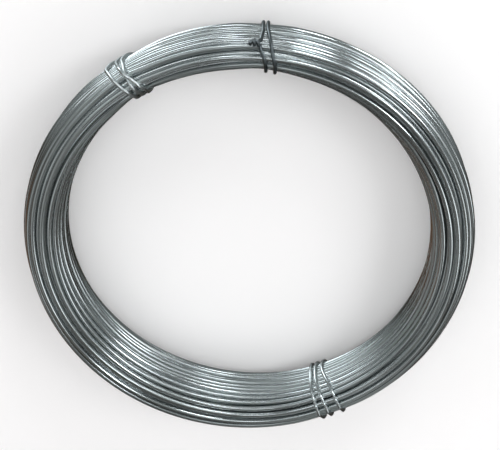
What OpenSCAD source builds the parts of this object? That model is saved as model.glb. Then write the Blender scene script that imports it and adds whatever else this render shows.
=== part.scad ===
// A coil of galvanized wire, lying flat on three tie wires that hold its turns together.
// The origin is on the coil's axis, at the level it lies on, and +Z is that axis.

/* [Coil] */
// Diameter of the circle that runs through the middle of the wire bundle
coil_d = 250; // [200:1:320]
// Width of the wire bundle, from the coil's eye to its outside
bundle_w = 25; // [18:0.5:36]
// Height of the wire bundle, along the coil's axis
bundle_h = 45; // [36:0.5:60]
// Diameter of the galvanized wire
wire_d = 3.4; // [2:0.1:5]
// How deep the groove between two neighbouring turns is cut
groove_depth = 1.1; // [0.4:0.05:1.5]

/* [Tie wires] */
// Diameter of the tie wire
tie_d = 2; // [1.2:0.1:3]
// Gap between a tie wire and the turns that it holds
tie_gap = 0.3; // [0.2:0.05:0.6]
// Gap between two strands of a tie where they cross or twist
strand_gap = 0.2; // [0.15:0.05:0.4]
// Azimuth of the front tie's twisted tail
front_azimuth = -88.5; // [-95:0.5:-80]
// Azimuth of the front right tie's twisted tail
right_azimuth = -52; // [-60:0.5:-45]
// Azimuth of the back left tie's twisted tail
back_azimuth = 116; // [110:0.5:125]

/* [Twisted tails] */
// Length of the twisted tail where a tie wire's two ends meet
tail_l = 4.5; // [4:0.5:12]
// Angle at which a tail stands off the turns
tail_rise = 42; // [28:1:60]

/* [Hidden] */
$fn = 48;

ring_r = coil_d / 2;
half_w = bundle_w / 2;
half_h = bundle_h / 2;
wire_r = wire_d / 2;
tie_r = tie_d / 2;
// A tie's middle line lies this far outside the turns
seat_h = tie_r + tie_gap;
// The bundle's middle is as high as the ties under it need
mid_z = half_h + tie_gap + tie_d;
// One strand lies this much higher where it crosses another
cross_h = tie_d + strand_gap;
// The two ends in a tail turn about each other at this radius, once in this length
twist_r = cross_h / 2;
twist_pitch = 2.5 * cross_h;
// Distance that a tail leans along the wraps for each millimetre that it stands off
tail_lean = 0.8;
// Radius of the bend from a wrap into its tail
bend_r = 1.1 * tie_d;
// Steps of a swept tie: sides of its section, degrees of the bundle between two rings of a
// wrap, and rings in a tail
tie_sides = 8;
ring_step = 9;
tail_rings = 10;

function unit(v) = v / norm(v);

// Oval through the middles of the outermost turns, and its length by angle
function oval(t) = [(half_w - wire_r) * cos(t), (half_h - wire_r) * sin(t)];
oval_lengths = [for (t = 0, s = 0; t <= 360; t = t + 1, s = s + norm(oval(t) - oval(t - 1))) [s, t]];
oval_l = oval_lengths[360][0];
turns_round = floor(oval_l / wire_d);
function turn_angle(i) = lookup(i * oval_l / turns_round, oval_lengths);

// Oval as deep as the grooves reach, which the turns stand out of
function groove_floor(t) = [(half_w - groove_depth) * cos(t), (half_h - groove_depth) * sin(t)];

// Directions in the bundle's section at an angle round it, counted from the coil's outside over
// its top: away from the bundle, and along its surface
function out_of(turn) = unit([(half_h - wire_r) * cos(turn), (half_w - wire_r) * sin(turn)]);
function along(turn) = [-out_of(turn).y, out_of(turn).x];
// A place in the section, turned to an azimuth round the coil
function in_ring(v, azimuth) = [v.x * cos(azimuth), v.x * sin(azimuth), v.y];
// Point at a height h above the turns
function surface_point(turn, azimuth, h) =
    in_ring([ring_r, mid_z] + oval(turn) + (wire_r + h) * out_of(turn), azimuth);

// A knot is a list of its angle in the section, the azimuth where its tail starts, and 1 or -1
// for the way that the tail runs round the coil
function knot_r(knot) = ring_r + half_w * cos(knot[0]);
// Point at a knot: w along the wrap, p along the coil and h above the turns
function knot_point(knot, w, p, h) =
    let (azimuth = knot[1] + knot[2] * p * 180 / PI / knot_r(knot))
    surface_point(knot[0], azimuth, h) + in_ring(w * along(knot[0]), azimuth);
// Point at a knot: v along its tail, w along the wrap and u square to both. Turned says how much
// of the tail's lean these directions share, from 0 at the wrap to 1 in the tail
function tail_point(knot, v, w, u, turned) =
    let (off = (v + bend_r) * sin(tail_rise), skew = turned * w * tail_lean * sin(tail_rise))
    knot_point(knot, w + tail_lean * off,
        v * cos(tail_rise) - u * sin(tail_rise) - skew * cos(tail_rise),
        seat_h + off + u * cos(tail_rise) - skew * sin(tail_rise));

// One end of a tie from its wrap to its tip: a bend, then its half of the twist
function tail_path(knot, side) = concat(
    [for (q = [0:22.5:90])
        tail_point(knot, -bend_r * cos(q), side * (twist_r + bend_r * (1 - sin(q))), 0,
            sin(q) ^ 2)],
    [for (i = [1:tail_rings])
        let (v = tail_l * i / tail_rings, a = 360 * v / twist_pitch + (side > 0 ? 0 : 180))
        tail_point(knot, v, twist_r * cos(a), twist_r * sin(a), 1)]);

// Half the angle of the section that a knot takes up
function knot_angle(knot) =
    (twist_r + bend_r + tie_d) * 180 / PI / norm([half_w * sin(knot[0]), half_h * cos(knot[0])]);

// The whole tie: one end's tail, its wraps and the other end's tail. Each row of the route is an
// angle in the section, the place along the coil from the tail's start, and the height, 1 where
// the strand crosses over another. Places are in tie wire diameters
function tie_path(knot, wraps, route) =
    let (
        from = knot[0] + knot_angle(knot),
        to = knot[0] + 360 * wraps - knot_angle(knot),
        by_tail = -knot[2] * bend_r * cos(tail_rise) / tie_d * ring_r / knot_r(knot),
        rows = concat([[from, by_tail, 0]], route, [[to, by_tail, 0]]),
        places = [for (row = rows) [row[0], row[1]]],
        heights = [for (row = rows) [row[0], row[2]]],
        rings = ceil((to - from) / ring_step),
        first = tail_path(knot, 1)
    )
    concat(
        [for (i = [len(first) - 1:-1:0]) first[i]],
        [for (i = [0:rings])
            let (turn = from + i * (to - from) / rings)
            surface_point(turn, knot[1] + lookup(turn, places) * tie_d * 180 / PI / ring_r,
                seat_h + cross_h * lookup(turn, heights))],
        tail_path(knot, -1));

// The front tie goes round twice, and its second wrap crosses the first low inside the eye
front_path = tie_path([48, front_azimuth, 1], 2, [
    [73, -1.7, 0], [118, -2.7, 0], [180, -2.9, 0], [354, -2.2, 0],
    [370, -2.4, 0], [403, -3.3, 0], [431, -4.1, 0], [461, -5, 0], [478, -5.4, 0],
    [560, -5.7, 0], [570, -5.1, 1], [592, -1.8, 1], [602, -1.1, 0],
    [709, -1, 0], [740, -1.2, 0]]);
// The front right tie goes round three times. The second wrap crosses the third on top, and the
// third crosses the first low inside the eye
right_path = tie_path([225, right_azimuth, 1], 3, [
    [270, 0.8, 0], [360, 2.8, 0], [392, 0.6, 0], [416, -0.5, 0], [436, -1.3, 0],
    [458, -2.2, 0], [484, -2.3, 0], [605, -2.3, 0], [640, -1.8, 0], [713, -0.1, 0],
    [740, -1.8, 0], [752, -2.5, 1], [777, -4.2, 1], [791, -5, 1], [803, -5.7, 0],
    [837, -6.4, 0], [900, -6.2, 0], [990, -3.8, 0], [1040, -2.6, 0], [1076, -2, 0],
    [1098, -3.1, 0], [1114, -3.6, 0], [1140, -3.9, 0], [1173, -4.2, 0],
    [1255, -4.3, 0], [1265, -3.6, 1], [1281, -1.3, 1]]);
// The back left tie goes round three times, and its last wrap crosses the others outside
back_path = tie_path([5, back_azimuth, -1], 3, [
    [90, 0, 0], [122, 0, 0], [150, -0.2, 0], [183, 0, 0], [210, -0.2, 0],
    [270, 0.2, 0], [300, 1.1, 0], [330, 2.3, 0], [360, 2.9, 0],
    [439, 3, 0], [456, 3.1, 0], [474, 3, 0], [492, 2.7, 0], [507, 2.3, 0], [522, 1.8, 0],
    [564, 1.7, 0], [630, 2.4, 0], [660, 3.4, 0], [690, 5.2, 0], [720, 6.6, 0],
    [797, 7.2, 0], [844, 7.3, 0], [858, 7, 0], [874, 6.3, 0], [886, 5.5, 0], [900, 4.7, 0],
    [919, 4.1, 0], [1012, 5.2, 0], [1022, 4.8, 1], [1052, 1.6, 1]]);

// Round wire swept along a path of points
module swept_wire(path, r) {
    last = len(path) - 1;
    ahead = [for (i = [0:last]) unit(path[min(i + 1, last)] - path[max(i - 1, 0)])];
    start = unit(cross(ahead[0], [0.3, 0.2, 1]));
    across = [for (i = 0, n = start; i <= last;
        i = i + 1, n = i <= last ? unit(n - (n * ahead[i]) * ahead[i]) : n) n];
    points = [for (i = [0:last]) for (k = [0:tie_sides - 1])
        path[i] + r * (cos(k * 360 / tie_sides) * across[i]
            + sin(k * 360 / tie_sides) * cross(ahead[i], across[i]))];
    sides = [for (i = [0:last - 1]) for (k = [0:tie_sides - 1])
        let (a = i * tie_sides + k, b = i * tie_sides + (k + 1) % tie_sides)
        each [[a, a + tie_sides, b], [b, a + tie_sides, b + tie_sides]]];
    ends = [[for (k = [0:tie_sides - 1]) k],
        [for (k = [tie_sides - 1:-1:0]) last * tie_sides + k]];
    polyhedron(points, concat(sides, ends));
}

module wire_coil() {
    color([0.68, 0.71, 0.71])
    translate([0, 0, mid_z])
    rotate_extrude()
    translate([ring_r, 0])
    union() {
        polygon([for (i = [0:turns_round - 1]) groove_floor(turn_angle(i))]);
        for (i = [0:turns_round - 1])
            translate(oval(turn_angle(i))) circle(r = wire_r);
    }
}

module tie_front() {
    color([0.38, 0.41, 0.42]) swept_wire(front_path, tie_r);
}

module tie_front_right() {
    color([0.72, 0.75, 0.75]) swept_wire(right_path, tie_r);
}

module tie_back_left() {
    color([0.6, 0.63, 0.64]) swept_wire(back_path, tie_r);
}

wire_coil();
tie_front();
tie_front_right();
tie_back_left();
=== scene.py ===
"""The looks of a coil of galvanized wire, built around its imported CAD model.

The wire runs in one piece through all of its turns. Their places in the bundle come from a small
relaxation: turns start in rings round a core, wander a little, and push each other apart. Three
tie wires are then pulled taut round the turns they hold.
"""

import math

import bpy
import numpy as np
from mathutils import Matrix, Vector


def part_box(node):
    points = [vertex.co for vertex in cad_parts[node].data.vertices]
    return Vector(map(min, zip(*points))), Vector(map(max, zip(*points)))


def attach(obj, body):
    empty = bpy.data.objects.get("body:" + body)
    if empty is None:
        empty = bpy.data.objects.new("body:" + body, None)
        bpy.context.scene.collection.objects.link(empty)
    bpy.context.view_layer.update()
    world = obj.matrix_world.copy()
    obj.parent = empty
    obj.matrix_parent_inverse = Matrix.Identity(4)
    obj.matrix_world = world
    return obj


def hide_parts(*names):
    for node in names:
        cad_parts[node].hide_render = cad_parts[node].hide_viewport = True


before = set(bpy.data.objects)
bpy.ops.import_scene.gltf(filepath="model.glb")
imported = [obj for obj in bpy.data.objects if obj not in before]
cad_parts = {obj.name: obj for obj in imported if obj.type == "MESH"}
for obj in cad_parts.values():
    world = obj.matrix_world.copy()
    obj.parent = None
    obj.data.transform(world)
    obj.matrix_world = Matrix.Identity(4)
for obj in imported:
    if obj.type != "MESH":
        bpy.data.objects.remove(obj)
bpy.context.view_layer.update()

MM = 0.001

# ---------------------------------------------------------------- sizes, in metres and degrees

WIRE_D = 3.4 * MM
TURNS = 64
# The ring that the bundle's middle follows, from the CAD coil and its bundle's width
BUNDLE_W = 25 * MM
RING_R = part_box("wire_coil")[1].x - BUNDLE_W / 2

# The bundle's height, the height that it lies at on its ties, and its rounded section's power
BUNDLE_H = 45 * MM
LIE_H = 2.15 * MM
SECTION_POWER = 2.2
# Where it is drawn together or swells: azimuth, reach in degrees, share of the width
SWELLS = [(-63, 35, -0.17), (69, 50, 0.29), (-152, 30, 0.12), (138, 22, -0.085)]
# The ties draw the turns in by this much at the sides and on top, within this many degrees
PINCH = 1.3 * MM
PINCH_REACH = 7

# Before the relaxation the turns lie in ranks this deep, round a core of this half width, both
# in wire diameters
RANK_DEPTH = 0.9
CORE_HALF_W = 0.25
# Points that each rank's path is measured by
RING_POINTS = 721
# How far a turn then wanders, in wire diameters, and its shortest wave as a share of a round
WANDER = 0.3
SHORTEST_WAVE = 0.12
# Relaxation: stations round the coil, steps, and the share of them that also keep each turn
# near its place, by this share of the way back to it
STATIONS = 240
STEPS = 150
HOMING_SHARE = 0.75
HOMING_PULL = 0.02
# The share of an overlap that each turn gives way by in one go
GIVE_WAY = 0.3
# How far ahead and behind the wire is smoothed, in stations, and how strongly: twice in a step
# that keeps turns near their places, and once in the last steps
LONG_SMOOTHING = (6, 0.35)
SHORT_SMOOTHING = (2, 0.5)
LAST_SMOOTHING = (1, 0.3)
# The wire's two ends are here: azimuth, and angle in the section from the outside over the top
END_AZIMUTH = 112
END_ANGLE = -50

TIE_D = 2 * MM
TIE_GAP = 0.05 * MM
STRAND_GAP = 0.2 * MM
CROSS_H = TIE_D + STRAND_GAP
TAIL_L = 4.5 * MM
TAIL_RISE = 42
# A tail leans over the coil by this share of the height that it stands off
TAIL_LEAN = 0.8
BEND_R = 1.1 * TIE_D
TWIST_R = CROSS_H / 2
TWIST_PITCH = 2.5 * CROSS_H
# A route's corners are eased over these angles
EASE = np.linspace(-8, 8, 9)
# Steps of a swept tie: degrees of a wrap, degrees of the bend into a tail, rings in a tail, and
# sides of the wire's section
WRAP_STEP = 4
BEND_STEP = 15
TAIL_RINGS = 18
TIE_SIDES = 14
# Degrees between the directions in which a taut strand's seat is measured
WAY_STEP = 1.5

# The zinc's dull patches and its streaks: how fine they are round the wire, and how many to a
# metre. Then the noise levels from which they are bright and dull, the share of the dull colour
# that each brings, the streaks' height, and what a bright and a dull place add to the roughness
PATCHES = (0.5, 9)
STREAKS = (3, 14)
PATCH_LEVELS = (0.38, 0.6)
STREAK_LEVELS = (0.3, 0.7)
PATCH_SHARE = 0.65
STREAK_SHARE = 0.35
STREAK_H = 0.03 * MM
BRIGHT_ROUGHNESS = -0.05
DULL_ROUGHNESS = 0.1

LAMP_COLOUR = (0.92, 0.98, 1)
LAMP_DISTANCE = 2.0

# The ties, as in the CAD source. Each has its middle's azimuth, its knot (angle in the section,
# azimuth and the way its tail runs), its wraps, and its route. A row of the route is an angle in
# the section, a place along the coil in tie wire diameters, and the height, 1 where it crosses
# a strand
TIES = {
    "tie_front": {
        "middle": -90.5,
        "knot": (48, -88.5, 1),
        "wraps": 2,
        "route": [
            (73, -1.7, 0), (118, -2.7, 0), (180, -2.9, 0), (354, -2.2, 0), (370, -2.4, 0),
            (403, -3.3, 0), (431, -4.1, 0), (461, -5, 0), (478, -5.4, 0), (560, -5.7, 0),
            (570, -5.1, 1), (592, -1.8, 1), (602, -1.1, 0), (709, -1, 0), (740, -1.2, 0),
        ],
    },
    "tie_front_right": {
        "middle": -54.5,
        "knot": (225, -52, 1),
        "wraps": 3,
        "route": [
            (270, 0.8, 0), (360, 2.8, 0), (392, 0.6, 0), (416, -0.5, 0), (436, -1.3, 0),
            (458, -2.2, 0), (484, -2.3, 0), (605, -2.3, 0), (640, -1.8, 0), (713, -0.1, 0),
            (740, -1.8, 0), (752, -2.5, 1), (777, -4.2, 1), (791, -5, 1), (803, -5.7, 0),
            (837, -6.4, 0), (900, -6.2, 0), (990, -3.8, 0), (1040, -2.6, 0), (1076, -2, 0),
            (1098, -3.1, 0), (1114, -3.6, 0), (1140, -3.9, 0), (1173, -4.2, 0),
            (1255, -4.3, 0), (1265, -3.6, 1), (1281, -1.3, 1),
        ],
    },
    "tie_back_left": {
        "middle": 119,
        "knot": (5, 116, -1),
        "wraps": 3,
        "route": [
            (90, 0, 0), (122, 0, 0), (150, -0.2, 0), (183, 0, 0), (210, -0.2, 0),
            (270, 0.2, 0), (300, 1.1, 0), (330, 2.3, 0), (360, 2.9, 0),
            (439, 3, 0), (456, 3.1, 0), (474, 3, 0), (492, 2.7, 0), (507, 2.3, 0),
            (522, 1.8, 0), (564, 1.7, 0), (630, 2.4, 0), (660, 3.4, 0), (690, 5.2, 0),
            (720, 6.6, 0), (797, 7.2, 0), (844, 7.3, 0), (858, 7, 0), (874, 6.3, 0),
            (886, 5.5, 0), (900, 4.7, 0), (919, 4.1, 0), (1012, 5.2, 0), (1022, 4.8, 1),
            (1052, 1.6, 1),
        ],
    },
}


# ---------------------------------------------------------------- the bundle's outline


def turn_back(angle):
    """An angle in degrees, brought between -180 and 180."""
    return (angle + 180) % 360 - 180


def near(azimuth, centre, reach):
    """1 at a centre and falling to 0 within about twice the reach."""
    return np.exp(-((turn_back(azimuth - centre) / reach) ** 2))


def by_ties(azimuth, reach):
    """1 at the middle of a tie and falling to 0 beside it."""
    return sum(near(azimuth, tie["middle"], reach) for tie in TIES.values())


def half_width(azimuth):
    """Half of the bundle's width at an azimuth."""
    swell = 1 + sum(s * near(azimuth, c, w) for c, w, s in SWELLS)
    return BUNDLE_W / 2 * swell - PINCH * by_ties(azimuth, PINCH_REACH)


def half_height(azimuth):
    """Half of the bundle's height at an azimuth."""
    return (BUNDLE_H - PINCH * by_ties(azimuth, PINCH_REACH)) / 2


def oval(half_w, half_h, angle):
    """Points of the rounded section at angles in radians."""
    c, s = np.cos(angle), np.sin(angle)
    power = 2 / SECTION_POWER
    return np.stack(
        [half_w * np.sign(c) * np.abs(c) ** power, half_h * np.sign(s) * np.abs(s) ** power], -1
    )


# ---------------------------------------------------------------- the wire's turns


def slot_path(half_w, half_h):
    """Places one wire apart on a path that fills an oval, ring by ring from its core out."""
    rings = []
    left = TURNS + 1
    while left > 0:
        depth = len(rings) * RANK_DEPTH * WIRE_D
        angle = np.radians(END_ANGLE) + np.linspace(0, 2 * np.pi, RING_POINTS)
        ring = oval(max(half_w - depth, CORE_HALF_W * WIRE_D), max(half_h - depth, WIRE_D), angle)
        lengths = np.r_[0, np.cumsum(np.linalg.norm(np.diff(ring, axis=0), axis=1))]
        count = min(left, int(lengths[-1] / WIRE_D))
        at = np.arange(count) / count * lengths[-1]
        rings.append(np.stack([np.interp(at, lengths, ring[:, c]) for c in (0, 1)], -1))
        left -= count
    return np.concatenate(rings[::-1])


def wander(random, count, shortest):
    """A smooth random curve of unit size with no wave shorter than so many points."""
    wave = np.fft.rfftfreq(count)
    spectrum = random.normal(size=len(wave)) + 1j * random.normal(size=len(wave))
    curve = np.fft.irfft(spectrum * np.exp(-((wave * shortest) ** 2)), count)
    return curve / curve.std()


def relax_turns():
    """The stations' azimuths, and each turn's place there: station, turn, (x, z)."""
    random = np.random.default_rng(7)
    azimuth = END_AZIMUTH + np.arange(STATIONS) * 360 / STATIONS
    limits = np.stack([half_width(azimuth), half_height(azimuth)], -1) - WIRE_D / 2
    tightest = limits.min(0)

    slots = slot_path(*tightest)
    along = np.arange(TURNS)[:, None] + np.arange(STATIONS)[None] / STATIONS
    places = np.stack([np.interp(along, np.arange(len(slots)), slots[:, c]) for c in (0, 1)], -1)
    places *= limits / tightest
    points = TURNS * STATIONS
    drift = np.stack([wander(random, points, STATIONS * SHORTEST_WAVE) for _ in (0, 1)], -1)
    places += WANDER * WIRE_D * drift.reshape(places.shape)

    # From here on: station, turn, (x, z)
    x = places.transpose(1, 0, 2).astype(np.float32)
    aim = x.copy()
    limits = limits[:, None].astype(np.float32)
    same = np.eye(TURNS, dtype=bool)[None]

    def part(x):
        """Turns that overlap are pushed apart."""
        away = x[:, :, None] - x[:, None]
        gap = np.sqrt((away**2).sum(-1)) + 1e-9
        push = np.where(same, 0, np.clip(WIRE_D - gap, 0, None)) / gap
        return x + GIVE_WAY * (away * push[..., None]).sum(2)

    def confine(x):
        """Turns outside the section are brought back onto its edge."""
        size = (np.abs(x / limits) ** SECTION_POWER).sum(-1) ** (1 / SECTION_POWER)
        return x / np.maximum(size, 1)[..., None]

    def smooth(x, reach, share):
        """The wire is drawn towards the chord between places a reach ahead and behind."""
        line = x.transpose(1, 0, 2).reshape(points, 2)
        padded = np.pad(line, ((reach, reach), (0, 0)), mode="edge")
        line = line + share * ((padded[: -2 * reach] + padded[2 * reach :]) / 2 - line)
        return line.reshape(TURNS, STATIONS, 2).transpose(1, 0, 2)

    for step in range(STEPS):
        if step < HOMING_SHARE * STEPS:
            x = smooth(x + HOMING_PULL * (aim - x), *LONG_SMOOTHING)
            x = smooth(x, *SHORT_SMOOTHING)
        else:
            x = smooth(x, *LAST_SMOOTHING)
        for _ in range(2):
            x = confine(part(x))
    x = x.astype(float)
    x[..., 1] += LIE_H + half_height(azimuth)[:, None]
    return azimuth, x


def in_ring(section, azimuth):
    """Section places (x from the ring, z) turned to azimuths in degrees."""
    a = np.radians(azimuth)
    r = RING_R + section[..., 0]
    return np.stack([r * np.cos(a), r * np.sin(a), section[..., 1]], -1)


# ---------------------------------------------------------------- meshes


def unit(v):
    """Vectors brought to unit length."""
    return v / np.linalg.norm(v, axis=-1, keepdims=True)


def carried_across(ahead):
    """Directions square to a path that turn with it as little as they can."""
    across = [unit(np.cross(ahead[0], [0.3, 0.2, 1]))]
    for direction in ahead[1:]:
        across.append(unit(across[-1] - (across[-1] @ direction) * direction))
    return np.array(across)


def tube(name, path, diameter, sides, across=None):
    """A closed round tube along a path. Its UV map is (share of the way round, metres along)."""
    ahead = unit(np.gradient(path, axis=0))
    if across is None:
        across = carried_across(ahead)
    across = unit(across - (across * ahead).sum(-1, keepdims=True) * ahead)
    beside = np.cross(ahead, across)
    turn = np.arange(sides) * 2 * np.pi / sides
    ring = across[:, None] * np.cos(turn)[:, None] + beside[:, None] * np.sin(turn)[:, None]
    points = (path[:, None] + diameter / 2 * ring).reshape(-1, 3)

    # Each face is between rings i and i + 1, and between sides k and k + 1
    count = len(path)
    i, k = np.meshgrid(np.arange(count - 1), np.arange(sides), indexing="ij")
    row, next_row, next_k = i * sides, (i + 1) * sides, (k + 1) % sides
    quads = np.stack([row + k, row + next_k, next_row + next_k, next_row + k], -1).reshape(-1, 4)
    caps = [list(range(sides))[::-1], list(range((count - 1) * sides, count * sides))]
    mesh = bpy.data.meshes.new(name)
    mesh.from_pydata(points.tolist(), [], quads.tolist() + caps)

    smooth = np.ones(len(quads) + 2, bool)
    smooth[-2:] = False
    mesh.polygons.foreach_set("use_smooth", smooth)
    metres = np.r_[0, np.cumsum(np.linalg.norm(np.diff(path, axis=0), axis=1))]
    u = np.stack([k, k + 1, k + 1, k], -1) / sides
    v = metres[np.stack([i, i, i + 1, i + 1], -1)]
    uv = np.zeros((len(mesh.loops), 2))
    uv[: quads.size] = np.stack([u.ravel(), v.ravel()], -1)
    mesh.uv_layers.new(name="along").uv.foreach_set("vector", uv.ravel())
    mesh.update()
    piece = bpy.data.objects.new(name, mesh)
    bpy.context.scene.collection.objects.link(piece)
    return piece


# ---------------------------------------------------------------- materials


class Nodes:
    """Short names for building a node tree."""

    def __init__(self, tree):
        self.tree = tree

    def add(self, kind, inputs=None, **settings):
        node = self.tree.nodes.new(kind)
        for key, value in settings.items():
            setattr(node, key, value)
        for key, value in (inputs or {}).items():
            self.put(node.inputs[key], value)
        return node

    def put(self, socket, value):
        if isinstance(value, bpy.types.NodeSocket):
            self.tree.links.new(value, socket)
        else:
            socket.default_value = value

    def math(self, operation, a, b=0.0):
        node = self.add("ShaderNodeMath", operation=operation)
        self.put(node.inputs[0], a)
        self.put(node.inputs[1], b)
        return node.outputs[0]

    def ramp(self, value, low, high, to_low=0.0, to_high=1.0):
        node = self.add("ShaderNodeMapRange", {
            "Value": value, "From Min": low, "From Max": high, "To Min": to_low, "To Max": to_high,
        })
        return node.outputs[0]

    def mix(self, share, a, b):
        node = self.add("ShaderNodeMix", data_type="RGBA")
        self.put(node.inputs["Factor"], share)
        self.put(node.inputs["A"], a)
        self.put(node.inputs["B"], b)
        return node.outputs["Result"]


def new_material(name):
    """A material, the builder of its nodes, and its shader's inputs."""
    material = bpy.data.materials.new(name)
    material.use_nodes = True
    n = Nodes(material.node_tree)
    return material, n, n.tree.nodes["Principled BSDF"].inputs


def galvanized(name, colour, dull_colour, roughness):
    """Zinc on drawn wire: fine streaks run along it, and it is here bright and there dull."""
    material, n, shader = new_material(name)
    uv = n.add("ShaderNodeUVMap", uv_map="along").outputs[0]
    around, metres, _ = n.add("ShaderNodeSeparateXYZ", {0: uv}).outputs
    angle = n.math("MULTIPLY", around, 2 * math.pi)
    section = n.math("COSINE", angle), n.math("SINE", angle)

    def streaks(fineness, per_metre):
        """Noise that is drawn out along the wire."""
        place = n.add("ShaderNodeCombineXYZ", {
            "X": n.math("MULTIPLY", section[0], fineness),
            "Y": n.math("MULTIPLY", section[1], fineness),
            "Z": n.math("MULTIPLY", metres, per_metre),
        })
        return n.add("ShaderNodeTexNoise", {
            "Vector": place.outputs[0], "Scale": 1.0, "Detail": 1.0,
        }).outputs[0]

    dull = n.ramp(streaks(*PATCHES), *PATCH_LEVELS)
    fine = streaks(*STREAKS)
    from_patches = n.math("MULTIPLY", dull, PATCH_SHARE)
    from_streaks = n.math("MULTIPLY", n.ramp(fine, *STREAK_LEVELS), STREAK_SHARE)
    dullness = n.math("ADD", from_patches, from_streaks)
    relief = n.add("ShaderNodeBump", {"Height": fine, "Distance": STREAK_H, "Strength": 1.0})
    n.put(shader["Base Color"], n.mix(dullness, (*colour, 1), (*dull_colour, 1)))
    spread = roughness + BRIGHT_ROUGHNESS, roughness + DULL_ROUGHNESS
    n.put(shader["Roughness"], n.ramp(dull, 0, 1, *spread))
    n.put(shader["Normal"], relief.outputs[0])
    n.put(shader["Metallic"], 1.0)
    return material


# ---------------------------------------------------------------- the ties


def taut_point(azimuths, turns, azimuth, angle, lift):
    """Where a taut strand round the turns lies: its place and its outward direction.

    The angle is counted in the section's oval from the coil's outside over its top, and lift is
    added to the height of a strand that touches the turns.
    """
    step = 360 / STATIONS
    at = ((azimuth - azimuths[0]) % 360) / step
    low = int(at) % STATIONS
    high = (low + 1) % STATIONS
    share = at - int(at)
    if high == 0:
        # Past the last station each turn goes on as the next one
        after = np.concatenate([turns[0, 1:], turns[-1, -1:]])
    else:
        after = turns[high]
    section = (1 - share) * turns[low] + share * after
    half_h = half_height(azimuth)
    middle = np.array([0, LIE_H + half_h])
    # A taut strand's outline has a flat side in every direction, as far out as the turns reach
    ways = np.radians(np.arange(0, 360, WAY_STEP))
    normals = np.stack([np.cos(ways), np.sin(ways)], -1)
    reach = ((section - middle) @ normals.T).max(0) + (WIRE_D + TIE_D) / 2 + TIE_GAP
    # The ray ends at the first side that it meets. Sides turned further away than this don't count
    shallowest = 0.05
    a = math.radians(angle)
    ray = unit(np.array([half_width(azimuth) * math.cos(a), half_h * math.sin(a)]))
    distance = reach / np.maximum(normals @ ray, shallowest)
    best = distance.argmin()
    out = normals[best]
    return middle + distance[best] * ray + lift * out, out


def tie_path(azimuths, turns, knot, wraps, route):
    """The whole tie wire: one end's tail, its wraps and the other end's tail."""
    knot_angle, knot_azimuth, way = knot
    base, out = taut_point(azimuths, turns, knot_azimuth, knot_angle, 0)
    round_it = np.array([-out[1], out[0]])
    knot_r = RING_R + base[0]

    def knot_point(w, p, h):
        azimuth = knot_azimuth + math.degrees(way * p / knot_r)
        return in_ring(base + h * out + w * round_it, azimuth)

    rise_c, rise_s = math.cos(math.radians(TAIL_RISE)), math.sin(math.radians(TAIL_RISE))

    def tail_point(v, w, u, turned):
        off = (v + BEND_R) * rise_s
        skew = turned * w * TAIL_LEAN * rise_s
        along = v * rise_c - u * rise_s - skew * rise_c
        return knot_point(w + TAIL_LEAN * off, along, off + u * rise_c - skew * rise_s)

    def tail(side):
        points = []
        for q in np.radians(np.arange(0, 91, BEND_STEP)):
            w = side * (TWIST_R + BEND_R * (1 - math.sin(q)))
            points.append(tail_point(-BEND_R * math.cos(q), w, 0, math.sin(q) ** 2))
        for v in np.linspace(0, TAIL_L, TAIL_RINGS + 1)[1:]:
            a = 2 * math.pi * v / TWIST_PITCH + (0 if side > 0 else math.pi)
            points.append(tail_point(v, TWIST_R * math.cos(a), TWIST_R * math.sin(a), 1))
        return points

    a = math.radians(knot_angle)
    half_w, half_h = half_width(knot_azimuth), half_height(knot_azimuth)
    stretch = math.hypot(half_w * math.sin(a), half_h * math.cos(a))
    clear = math.degrees((TWIST_R + BEND_R + TIE_D) / stretch)
    first, last = knot_angle + clear, knot_angle + 360 * wraps - clear
    by_tail = -way * BEND_R * rise_c / TIE_D * RING_R / knot_r
    rows = np.array([(first, by_tail, 0), *route, (last, by_tail, 0)])
    points = []
    for angle in np.linspace(first, last, int((last - first) / WRAP_STEP)):
        place, lift = (np.interp(angle + EASE, rows[:, 0], rows[:, c]).mean() for c in (1, 2))
        azimuth = knot_azimuth + math.degrees(place * TIE_D / RING_R)
        seat = taut_point(azimuths, turns, azimuth, angle, CROSS_H * lift)[0]
        points.append(in_ring(seat, azimuth))
    return np.array(tail(1)[::-1] + points + tail(-1))


# ---------------------------------------------------------------- the pieces


def build_coil(azimuths, turns, material):
    """The wire in three pieces of one run, each with as many sides as can be seen on it."""
    chain = turns.transpose(1, 0, 2).reshape(-1, 2)
    around = np.tile(azimuths, TURNS)
    path = in_ring(chain, around)
    a = np.radians(around)
    outward = np.stack([np.cos(a), np.sin(a), 0 * a], -1)
    # Name, the turns that it starts and ends at, counted from the core out, and its sides
    for name, first, last, sides in [
        ("wire_core_turns", 0, 22, 8),
        ("wire_middle_turns", 22, 41, 12),
        ("wire_outer_turns", 41, TURNS, 16),
    ]:
        run = slice(first * STATIONS, min(last * STATIONS + 1, len(path)))
        piece = tube(name, path[run], WIRE_D, sides, outward[run])
        piece.data.materials.append(material)
        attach(piece, "root")
        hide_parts("wire_coil")


def build_tie(name, azimuths, turns, material):
    """A tie's wire, drawn taut round the turns that it holds."""
    tie = TIES[name]
    path = tie_path(azimuths, turns, tie["knot"], tie["wraps"], tie["route"])
    piece = tube(name + "_wire", path, TIE_D, TIE_SIDES)
    piece.data.materials.append(material)
    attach(piece, "root")
    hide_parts(name)


# ---------------------------------------------------------------- camera, floor and light


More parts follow.
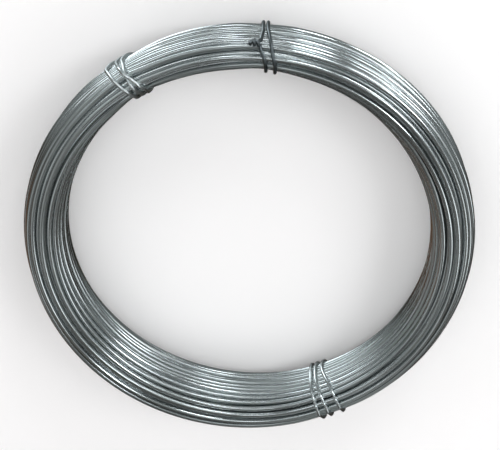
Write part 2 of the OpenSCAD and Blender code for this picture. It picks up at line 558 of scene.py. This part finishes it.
def place_camera():
    """A view down onto the coil from its front, turned nearly upside down as the photo is."""
    distance = 5 * RING_R
    elevation, roll = math.radians(60), math.radians(184.65)
    # The focal length and the shifts are shares of the picture's width
    focal_length, shift_x, shift_y = 2.022, 0.0037, 0.0307
    back = Vector((0, -math.cos(elevation), math.sin(elevation)))
    right = Vector((1, 0, 0))
    up = right.cross(-back)
    rolled_right = math.cos(roll) * right + math.sin(roll) * up
    rolled_up = -math.sin(roll) * right + math.cos(roll) * up

    data = bpy.data.cameras.new("camera")
    data.sensor_width = 36
    data.lens = data.sensor_width * focal_length
    data.shift_x, data.shift_y = shift_x, shift_y
    data.clip_start, data.clip_end = 0.01, 100
    camera = bpy.data.objects.new("camera", data)
    coil_middle = Vector((0, 0, LIE_H + BUNDLE_H / 2))
    turned = Matrix((rolled_right, rolled_up, back)).transposed().to_4x4()
    camera.matrix_world = Matrix.Translation(coil_middle + distance * back) @ turned
    bpy.context.scene.collection.objects.link(camera)
    bpy.context.scene.camera = camera


def place_floor():
    """A pale floor that curves up into a wall all round, far outside the coil."""
    wall_r, bend_r, wall_h, steps = 4.0, 1.5, 4.0, 64
    bend = [math.radians(q) for q in range(0, 91, 10)]
    profile = [(wall_r - bend_r + bend_r * math.sin(q), bend_r * (1 - math.cos(q))) for q in bend]
    profile.append((wall_r, wall_h))
    turns = [2 * math.pi * i / steps for i in range(steps)]
    points = [(r * math.cos(t), r * math.sin(t), z) for r, z in profile for t in turns]
    faces = [tuple(range(steps))]
    for row in range(len(profile) - 1):
        for i in range(steps):
            j = (i + 1) % steps
            a, b = row * steps, (row + 1) * steps
            faces.append((a + i, b + i, b + j, a + j))
    mesh = bpy.data.meshes.new("floor")
    mesh.from_pydata(points, [], faces)
    mesh.polygons.foreach_set("use_smooth", [True] * len(faces))
    floor = bpy.data.objects.new("floor", mesh)
    bpy.context.scene.collection.objects.link(floor)
    material, n, shader = new_material("floor")
    n.put(shader["Base Color"], (0.95, 0.9, 0.89, 1))
    n.put(shader["Roughness"], 1.0)
    n.put(shader["Specular IOR Level"], 0.0)
    mesh.materials.append(material)
    # In its place the zinc mirrors the surroundings, and the lowest lamps shine through it
    floor.visible_glossy = False
    floor.visible_shadow = False


def toward(azimuth, elevation):
    """The direction in which an azimuth and an elevation lie."""
    a, e = math.radians(azimuth), math.radians(elevation)
    return Vector((math.cos(e) * math.cos(a), math.cos(e) * math.sin(a), math.sin(e)))


def softbox(name, azimuth, elevation, width, height, radiance):
    """An area light that faces the coil; its width and height are degrees seen from there."""
    data = bpy.data.lights.new(name, "AREA")
    data.shape = "RECTANGLE"
    data.size = 2 * LAMP_DISTANCE * math.tan(math.radians(width / 2))
    data.size_y = 2 * LAMP_DISTANCE * math.tan(math.radians(height / 2))
    data.energy = math.pi * radiance * data.size * data.size_y
    data.color = LAMP_COLOUR
    light = bpy.data.objects.new(name, data)
    light.location = LAMP_DISTANCE * toward(azimuth, elevation)
    light.rotation_euler = (-light.location).to_track_quat("-Z", "Y").to_euler()
    bpy.context.scene.collection.objects.link(light)
    return light


def place_surroundings():
    """What the zinc mirrors besides the lamps: a pale room in front, and a dimmer one behind."""
    world = bpy.data.worlds.new("world")
    world.use_nodes = True
    n = Nodes(world.node_tree)
    way = n.add("ShaderNodeTexCoord").outputs["Generated"]
    _, y, z = n.add("ShaderNodeSeparateXYZ", {0: way}).outputs
    # Each is one colour above the horizon and another below, and they blend where they meet
    front = n.ramp(y, 0.1, -0.1)
    above = n.mix(front, (0.11, 0.11, 0.105, 1), (0.17, 0.185, 0.185, 1))
    below = n.mix(front, (0.03, 0.025, 0.02, 1), (0.2, 0.22, 0.22, 1))
    colour = n.mix(n.ramp(z, -0.05, 0.05), below, above)
    # Spots in it: a bright one low in front on the right, a dark one behind, and a brown one low
    # behind on the right. Each has its azimuth, elevation, radius and colour, and a soft edge
    soft = 3
    for azimuth, elevation, radius, spot_colour in [
        (-40, -50, 16, (3, 3.3, 3.4, 1)),
        (90, 10, 34, (0.04, 0.038, 0.035, 1)),
        (46, -30, 24, (0.15, 0.088, 0.055, 1)),
    ]:
        aim = n.add("ShaderNodeVectorMath", {0: way, 1: toward(azimuth, elevation)},
                    operation="DOT_PRODUCT").outputs["Value"]
        edge = math.cos(math.radians(radius + soft)), math.cos(math.radians(radius - soft))
        colour = n.mix(n.ramp(aim, *edge), colour, spot_colour)
    n.put(n.tree.nodes["Background"].inputs["Color"], colour)
    bpy.context.scene.world = world


def place_lamps():
    """Soft windows in front, which make the zinc's highlights, and weaker lamps behind."""
    # Name, azimuth, elevation, width, height and radiance
    for lamp in [
        ("window_left", -151, 40, 13, 26, 7),
        ("window_front", -104, 20, 17, 14, 9),
        ("window_low_left", -130, 0, 17, 14, 7.5),
        ("window_low_front", -80, 0, 14, 14, 4.6),
        ("band_right", -40, 30, 44, 14, 1.8),
        ("window_top", -90, 65, 20, 14, 1.8),
        ("lamp_back_left", 158, 40, 26, 26, 1.5),
        ("lamp_back", 105, 30, 22, 18, 0.75),
        ("band_back_right", 30, 50, 34, 44, 0.33),
    ]:
        softbox(*lamp)
    # Lights the floor evenly, but isn't mirrored in the zinc
    softbox("floor_fill", -90, 88, 90, 90, 0.8).visible_glossy = False


# ---------------------------------------------------------------- the scene

place_camera()
azimuths, turns = relax_turns()
zinc = galvanized("galvanized_zinc", (0.74, 0.77, 0.78), (0.5, 0.53, 0.53), 0.2)
bright = galvanized("bright_zinc", (0.8, 0.83, 0.84), (0.74, 0.77, 0.77), 0.3)
# The front tie's wire gets a darker copy of the zinc: partly dark wire, partly painted shade for
# the dark surroundings its strands mirror
dark_and_shade = galvanized("dark_wire_and_painted_shade", (0.18, 0.2, 0.21), (0.13, 0.145, 0.15), 0.35)
build_coil(azimuths, turns, zinc)
build_tie("tie_front", azimuths, turns, dark_and_shade)
build_tie("tie_front_right", azimuths, turns, bright)
build_tie("tie_back_left", azimuths, turns, bright)
place_floor()
place_surroundings()
place_lamps()
bpy.context.scene.view_settings.view_transform = "Standard"
